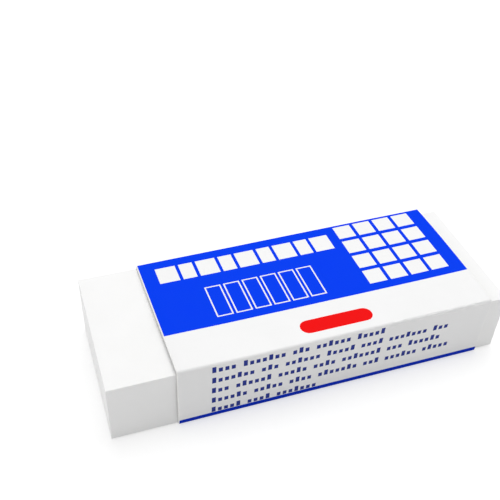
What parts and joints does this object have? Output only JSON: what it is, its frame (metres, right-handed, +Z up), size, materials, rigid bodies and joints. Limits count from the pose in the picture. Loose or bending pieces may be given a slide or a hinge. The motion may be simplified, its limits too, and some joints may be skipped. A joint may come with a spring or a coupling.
{
  "type": "plastic eraser",
  "caption": "Soft vinyl block eraser in a folded card sleeve with a plain printed pattern; the block slides in the sleeve and rubs pencil off paper.",
  "frame": {"origin": "centre of the whole eraser's footprint, on the surface that the sleeve's bottom panel lies on", "axes": "+X along the eraser's length, from the long bare end of the block towards the short one; +Z up, out of the sleeve's top panel"},
  "size_m": [0.065, 0.0246, 0.0121],
  "materials": {
    "white_vinyl": "matte",
    "printed_card": "satin"
  },
  "bodies": {
    "sleeve": {"sleeve": "printed_card"},
    "block": {"eraser_block": "white_vinyl"}
  },
  "joints": [
    {"name": "block_slide", "type": "slide", "parent": "sleeve", "child": "block", "axis": [1, 0, 0], "range_m": [-0.0529, 0.0596]}
  ]
}
